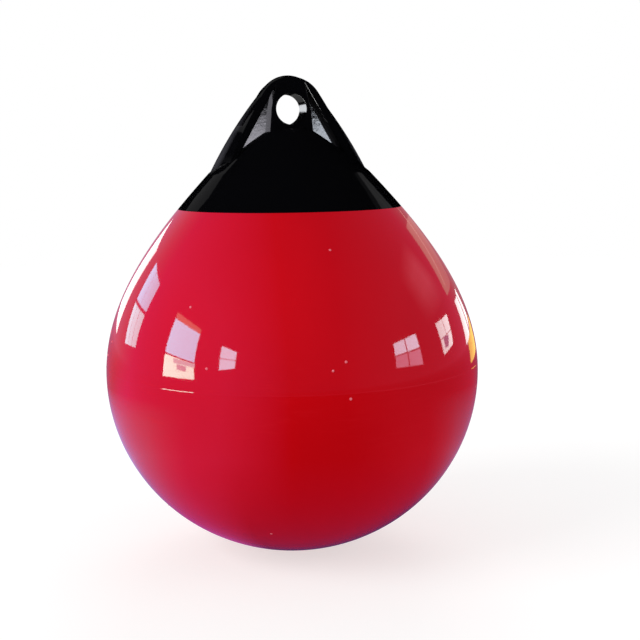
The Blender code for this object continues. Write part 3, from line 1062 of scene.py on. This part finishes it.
# %% Cutters with flared mouths
def pocket_floor(x):
    """Height of a pocket's floor: level with the crown where the lug's face meets it."""
    depth = face_depth((EYE_HEIGHT + CROWN_HEIGHT) / 2)
    return crown(math.hypot(x, depth))[1] - POCKET_SINK


def meet_floor(x_at_eye, lean):
    """Where a side of a pocket, leaning out downwards, comes down to the floor."""
    x = x_at_eye
    for _ in range(30):
        x = x_at_eye + (EYE_HEIGHT - pocket_floor(x)) * math.tan(lean)
    return x


def pocket_outline():
    """Corners (x, z) of a pocket at its web, clockwise from the boss."""
    rim_line = face_arch(EYE_HEIGHT)[-1][0] - RIM_WIDTH
    boss_line = EYE_RADIUS + BOSS_WALL
    steep = math.tan(POCKET_FLANK_ANGLE)
    tip_rise = (rim_line - boss_line) / (steep - math.tan(BOSS_LEAN_ABOVE))
    outer_corner = meet_floor(rim_line, POCKET_FLANK_ANGLE)
    inner_corner = meet_floor(boss_line, BOSS_LEAN_BELOW)
    corners = [(boss_line, EYE_HEIGHT), (rim_line - tip_rise * steep, EYE_HEIGHT + tip_rise)]
    return corners + [(x, pocket_floor(x)) for x in spread(outer_corner, inner_corner, 12)]


def grown_outline(corners, by):
    """An outline with each side moved outwards by the same amount."""
    count = len(corners)
    moved = []
    for index in range(count):
        before = Vector(corners[index - 1])
        here = Vector(corners[index])
        after = Vector(corners[(index + 1) % count])
        first = (here - before).normalized()
        second = (after - here).normalized()
        out_first = Vector((-first.y, first.x))
        out_second = Vector((-second.y, second.x))
        out = (out_first + out_second).normalized()
        moved.append(here + out * by / max(out.dot(out_first), 0.35))
    return moved


def flare(step):
    """Of a quarter round: how far it has opened and how deep it still is, both in its radius."""
    angle = math.pi / 2 * step / MOUTH_STEPS
    return (1 - math.cos(angle), 1 - MOUTH_LIFT - math.sin(angle))


def pocket_cutter(side, face):
    """The pocket on one side of the eye, in one face of the lug."""
    corners = pocket_outline()
    shape = bmesh.new()
    rings = [[(x, face * WEB_THICKNESS / 2, z) for x, z in corners]]
    for step in range(MOUTH_STEPS + 1):
        opened, sunk = flare(step)
        wider = grown_outline(corners, opened * MOUTH_ROUND)
        rings.append([(x, face * (face_depth(z) - sunk * MOUTH_ROUND), z) for x, z in wider])
    rings.append([(x, y + face * OVERCUT, z) for x, y, z in rings[-1]])
    rings = [[shape.verts.new((side * x, y, z)) for x, y, z in ring] for ring in rings]
    shape.faces.new(rings[0])
    shape.faces.new(rings[-1])
    for near, far in zip(rings, rings[1:]):
        bridge(shape, near, far)
    return to_mesh(shape, "pocket")


def eye_cutter():
    """The rope eye: a round bore along Y that opens like a trumpet at both faces."""
    shape = bmesh.new()
    rings = []
    for face in (-1, 1):
        ways = list(range(MOUTH_STEPS + 1))
        for step in reversed(ways) if face < 0 else ways:
            opened, sunk = flare(step)
            rings.append((face, EYE_RADIUS + opened * EYE_ROUND, sunk * EYE_ROUND))
    rings.insert(0, (-1, EYE_RADIUS + EYE_ROUND, -OVERCUT))
    rings.append((1, EYE_RADIUS + EYE_ROUND, -OVERCUT))
    made = []
    for face, radius, sunk in rings:
        ring = []
        for step in range(EYE_STEPS):
            angle = math.tau * step / EYE_STEPS
            z = EYE_HEIGHT + radius * math.sin(angle)
            y = face * (face_depth(z) - sunk)
            ring.append(shape.verts.new((radius * math.cos(angle), y, z)))
        made.append(ring)
    shape.faces.new(made[0])
    shape.faces.new(made[-1])
    for near, far in zip(made, made[1:]):
        bridge(shape, near, far)
    return to_mesh(shape, "eye")


# %% Head put together
lug_base = BELLY_DEPTH + (SKIRT_EDGE_RISE + 2 * CROWN_RISE) / 3
steps = [("UNION", lug_mesh(lug_base)), ("DIFFERENCE", eye_cutter())]
steps += [("DIFFERENCE", pocket_cutter(side, face)) for side in (-1, 1) for face in (-1, 1)]
steps += [
    ("UNION", rod(VALVE_PAD_RADIUS, -SKIRT_WALL, VALVE_PAD_RISE)),
    ("DIFFERENCE", float_space()),
    ("DIFFERENCE", rod(VALVE_BARREL_RADIUS + FIT, -(SKIRT_WALL + OVERCUT), OVERCUT)),
]
black_vinyl, black_board, black_output = new_material("black_vinyl")
head_mesh = cut_and_joined("head", turned(head_outline()), steps)
head_mesh.materials.append(black_vinyl)
moulded_head = put_in_scene("moulded_rope_hold", head_mesh)
head_room.objects.link(moulded_head)
print("head faces:", len(head_mesh.polygons))

# %% [markdown]
# The valve
#
# A float that holds air needs a valve. The photograph shows the buoy from the other side,
# so this one is the common kind: a flanged nylon body with a grip of fine ribs round its
# flange, and a slotted screw in it that presses on a rubber ring. The round parts are
# turned. The ribs repeat, so Geometry Nodes sets them round the flange.

# %% Valve body with its ribs
FLANGE_RADIUS = 0.0105
FLANGE_THICKNESS = 0.0034
RECESS_DEPTH = 0.0024
BARREL_TAIL = 0.0025
SHANK_RADIUS = 0.0036
SHANK_LENGTH = 0.009
SCREW_HEAD_RADIUS = 0.0068
SCREW_HEAD_HEIGHT = 0.0026
SLOT_WIDTH = 0.0016
SLOT_DEPTH = 0.0014
SEAL_THICKNESS = 0.0010
RIB_COUNT = 40
RIB_RADIUS = 0.00035
RIB_SINK = 0.0001
RIB_HEIGHT = FLANGE_THICKNESS - 0.0011
RIB_DROP = 0.0002
EDGE_ROUND = 0.0004

FLANGE_BOTTOM = VALVE_PAD_RISE + FIT
FLANGE_TOP = FLANGE_BOTTOM + FLANGE_THICKNESS
RECESS_FLOOR = FLANGE_TOP - RECESS_DEPTH
HEAD_BOTTOM = RECESS_FLOOR + SEAL_THICKNESS + 2 * FIT
HEAD_TOP = HEAD_BOTTOM + SCREW_HEAD_HEIGHT


def round_corner(radius, height, across, up):
    """Points of a rounded corner; across and up say which way its middle lies."""
    points = []
    for angle in spread(0, math.pi / 2, 5):
        inwards = radius + across * EDGE_ROUND * (1 - math.cos(angle))
        points.append((inwards, height + up * EDGE_ROUND * (1 - math.sin(angle))))
    return points


def rib_tree(material):
    """Upright half-round ribs set evenly round a circle."""
    inputs = {
        "Circle radius": FLANGE_RADIUS - RIB_SINK,
        "Rib radius": RIB_RADIUS,
        "Rib height": RIB_HEIGHT,
    }
    tree, board = geometry_tree("grip ribs", inputs)
    given = board.add("NodeGroupInput")
    circle = {"Resolution": RIB_COUNT, "Radius": given["Circle radius"]}
    line = board.add("GeometryNodeCurvePrimitiveCircle", {"mode": "RADIUS"}, circle)[0]
    ways = {"Vertices": 10, "Radius": given["Rib radius"], "Depth": given["Rib height"]}
    rib = board.add("GeometryNodeMeshCylinder", None, ways)["Mesh"]
    points = board.add("GeometryNodeCurveToPoints", {"mode": "EVALUATED"}, [line])["Points"]
    places = {"Points": points, "Instance": rib}
    ribs = board.add("GeometryNodeInstanceOnPoints", None, places)[0]
    finish_tree(board, ribs, material)
    return tree, inputs


black_nylon, nylon_board, nylon_output = new_material("black_nylon")
bore = SHANK_RADIUS + FIT
barrel_end = -(RECESS + WALL + BARREL_TAIL)
body_outline = [(bore, barrel_end), (VALVE_BARREL_RADIUS, barrel_end)]
body_outline += [(VALVE_BARREL_RADIUS, FLANGE_BOTTOM), (FLANGE_RADIUS, FLANGE_BOTTOM)]
body_outline += round_corner(FLANGE_RADIUS, FLANGE_TOP, -1, -1)
body_outline += round_corner(SCREW_HEAD_RADIUS + FIT, FLANGE_TOP, 1, -1)[::-1]
body_outline += [(SCREW_HEAD_RADIUS + FIT, RECESS_FLOOR), (bore, RECESS_FLOOR)]
valve_mesh = turned(body_outline, 96, closed=True)
tree, inputs = rib_tree(black_nylon)
rib_mesh = grown("ribs", tree, inputs)
rib_middle = (FLANGE_BOTTOM + FLANGE_TOP) / 2 - RIB_DROP
rib_mesh.transform(Matrix.Translation((0, 0, rib_middle)))
shape = bmesh.new()
shape.from_mesh(valve_mesh)
shape.from_mesh(rib_mesh)
valve_mesh = to_mesh(shape, "valve body", VALVE_PLACE)
valve_mesh.materials.append(black_nylon)
valve_mesh.shade_smooth()
valve_mesh.set_sharp_from_angle(angle=SHARP_ANGLE)
ribbed_valve = put_in_scene("ribbed_valve_body", valve_mesh)
print("valve faces:", len(valve_mesh.polygons))

# %% Slotted screw
THREAD_PITCH = 0.0014
THREAD_DEPTH = 0.0004

grey_nylon, grey_board, grey_output = new_material("grey_nylon")
screw_outline = [(0, HEAD_TOP)] + round_corner(SCREW_HEAD_RADIUS, HEAD_TOP, -1, -1)[::-1]
screw_outline += [(SCREW_HEAD_RADIUS, HEAD_BOTTOM), (SHANK_RADIUS, HEAD_BOTTOM)]
root_radius = SHANK_RADIUS - THREAD_DEPTH
for step in range(int(SHANK_LENGTH / THREAD_PITCH)):
    top = HEAD_BOTTOM - step * THREAD_PITCH
    for part_way, radius in ((0.1, SHANK_RADIUS), (0.5, root_radius), (0.9, SHANK_RADIUS)):
        screw_outline.append((radius, top - part_way * THREAD_PITCH))
shank_end = HEAD_BOTTOM - SHANK_LENGTH
screw_outline += [(root_radius, shank_end), (0, shank_end)]
shape = bmesh.new()
bmesh.ops.create_cube(shape, size=1)
slot_size = (2 * SCREW_HEAD_RADIUS + OVERCUT, SLOT_WIDTH, 2 * SLOT_DEPTH)
bmesh.ops.scale(shape, vec=slot_size, verts=shape.verts)
bmesh.ops.translate(shape, vec=(0, 0, HEAD_TOP), verts=shape.verts)
slot_cutter = to_mesh(shape, "slot", VALVE_PLACE)
plain_screw = turned(screw_outline, 96, place=VALVE_PLACE)
screw_mesh = cut_and_joined("screw", plain_screw, [("DIFFERENCE", slot_cutter)])
screw_mesh.materials.append(grey_nylon)
slotted_screw = put_in_scene("slotted_valve_screw", screw_mesh)
for thing in (ribbed_valve, slotted_screw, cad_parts["valve_seal"]):
    float_room.objects.link(thing)
print("screw faces:", len(screw_mesh.polygons))

# %% [markdown]
# The finishes
#
# Red vinyl has a sharp clear gloss over a softer colour, so it gets a coat over a rougher
# base. Its red clouds a little, and handling leaves faint rub marks where the float is
# widest. The black head is the same vinyl with more pigment; its pockets get a painted
# reflection, a pale grey sheen. The nylon of the valve is satin and slightly grainy.


# %% Shared parts of the finishes
def object_place(board):
    """Places on the piece itself, in metres."""
    return board.add("ShaderNodeTexCoord")["Object"]


def noise(board, place, scale, detail=3.0, roughness=0.5):
    """Soft random values from 0 to 1 over the surface."""
    values = {"Vector": place, "Scale": scale, "Detail": detail, "Roughness": roughness}
    return board.add("ShaderNodeTexNoise", None, values)["Fac"]


def bump(board, height, distance):
    """A normal tilted by small heights, up to this distance in metres."""
    values = {"Height": height, "Distance": distance, "Strength": 1.0}
    return board.add("ShaderNodeBump", None, values)[0]


def principled(board, output, values):
    """A Principled shader with these sockets, as the material's surface."""
    shader = board.add("ShaderNodeBsdfPrincipled", None, values)["BSDF"]
    board.join(shader, output.inputs["Surface"])


# %% Red vinyl
RED = (0.60, 0.0013, 0.0036, 1)
DEEP_RED = (0.56, 0.0010, 0.0030, 1)
RUBBED_RED = (0.61, 0.006, 0.011, 1)

place = object_place(red_board)
clouds = noise(red_board, place, 9.0, 4.0).between(0.35, 0.7)
height = red_board.add("ShaderNodeSeparateXYZ", None, [place])["Z"]
near_widest = 1 - ((height - BELLY_DEPTH) * (1 / 0.05)).math("ABSOLUTE").between(0.2, 1.0)
streaks = red_board.add("ShaderNodeMapping", None, {"Vector": place, "Scale": (1.0, 1.0, 9.0)})[0]
rubs = noise(red_board, streaks, 38.0, 5.0, 0.65).between(0.56, 0.72) * near_widest
colour = red_board.mix_colour(clouds, DEEP_RED, RED)
colour = red_board.mix_colour(rubs * 0.5, colour, RUBBED_RED)
peel = noise(red_board, place, 260.0, 2.0)
cells = {"Vector": place, "Scale": 95.0}
specks = red_board.add("ShaderNodeTexVoronoi", {"feature": "F1"}, cells)["Distance"]
pits = 1 - specks.between(0.03, 0.10)
pitted = pits * noise(red_board, place, 30.0).between(0.5, 0.6)
normal = bump(red_board, peel * 0.25 + pitted, 0.00006)
principled(
    red_board,
    red_output,
    {
        "Base Color": colour,
        "Roughness": 0.38 + rubs * 0.2,
        "Specular IOR Level": 0.0,
        "Coat Weight": 1 - rubs * 0.25,
        "Coat Roughness": 0.045,
        "Coat IOR": 1.5,
        "Normal": normal,
    },
)

# %% Nibs, painted pale as a highlight
# The pale colour is a painted highlight: it stands in for the glints on the nibs.
NIB_PAINTED_GLINT = (0.80, 0.16, 0.20, 1)
principled(nib_board, nib_output, {"Base Color": NIB_PAINTED_GLINT, "Roughness": 0.35})

# %% Black vinyl
BLACK = (0.0018, 0.0018, 0.0024, 1)
# The pale grey below is a painted reflection, a sheen painted into the pockets.
POCKET_PAINTED_SHEEN = (0.045, 0.044, 0.052, 1)

place = object_place(black_board)
spot = black_board.add("ShaderNodeSeparateXYZ", None, [place])
from_web = spot["Y"].math("ABSOLUTE") - WEB_THICKNESS / 2
above_crown = spot["Z"].between(EYE_HEIGHT - 0.05, EYE_HEIGHT - 0.045)
in_pocket = (1 - from_web.between(0.001, 0.006)) * above_crown
low_down = 1 - spot["Z"].between(EYE_HEIGHT - 0.025, EYE_HEIGHT + 0.012)
patchy = noise(black_board, place, 90.0, 4.0, 0.6).between(0.25, 0.75)
# Painted reflection: a patchy grey sheen in the pockets, paler low down where they face light.
painted_pocket_sheen = in_pocket * low_down * (patchy * 0.5 + 0.5)
colour = black_board.mix_colour(painted_pocket_sheen, BLACK, POCKET_PAINTED_SHEEN)
grain = noise(black_board, place, 420.0, 2.0)
flow = noise(black_board, place, 24.0, 3.0)
principled(
    black_board,
    black_output,
    {
        "Base Color": colour,
        "Roughness": 0.02 + flow * 0.04 + painted_pocket_sheen * 0.05,
        "Normal": bump(black_board, grain * 0.2 + flow, 0.00008),
    },
)


# %% Nylon and rubber
def satin(board, output, dark, light, roughness):
    """Moulded plastic with a fine grain and a slightly uneven colour."""
    place = object_place(board)
    grain = noise(board, place, 1400.0, 3.0)
    cloud = noise(board, place, 220.0, 2.0)
    values = {
        "Base Color": board.mix_colour(cloud, dark, light),
        "Roughness": roughness + grain * 0.12,
        "Normal": bump(board, grain, 0.00004),
    }
    principled(board, output, values)


satin(nylon_board, nylon_output, (0.010, 0.010, 0.011, 1), (0.017, 0.017, 0.018, 1), 0.34)
satin(grey_board, grey_output, (0.14, 0.14, 0.15, 1), (0.19, 0.19, 0.20, 1), 0.38)
seal_rubber, seal_board, seal_output = new_material("seal_rubber")
satin(seal_board, seal_output, (0.016, 0.016, 0.017, 1), (0.026, 0.026, 0.027, 1), 0.62)
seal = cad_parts["valve_seal"]
for slot in seal.material_slots:
    slot.material = seal_rubber
finishes = (red_vinyl, nib_painted_glint, black_vinyl, black_nylon, grey_nylon, seal_rubber)
print("finishes:", [made.name for made in finishes])

# %% [markdown]
# Tying the pieces to the frame
#
# Each new piece rides on the buoy's one body and stands in for the plain solid that it
# replaces.
# The rubber ring keeps its solid, which has the right shape already.

# %% Ride and replace
for piece, node, slot_name in (
    (inflated_float, "float_body", "red_vinyl"),
    (moulded_head, "rope_hold", "black_vinyl"),
    (ribbed_valve, "valve_body", "black_nylon"),
    (slotted_screw, "valve_screw", "grey_nylon"),
):
    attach(piece, "root")
    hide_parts(node)
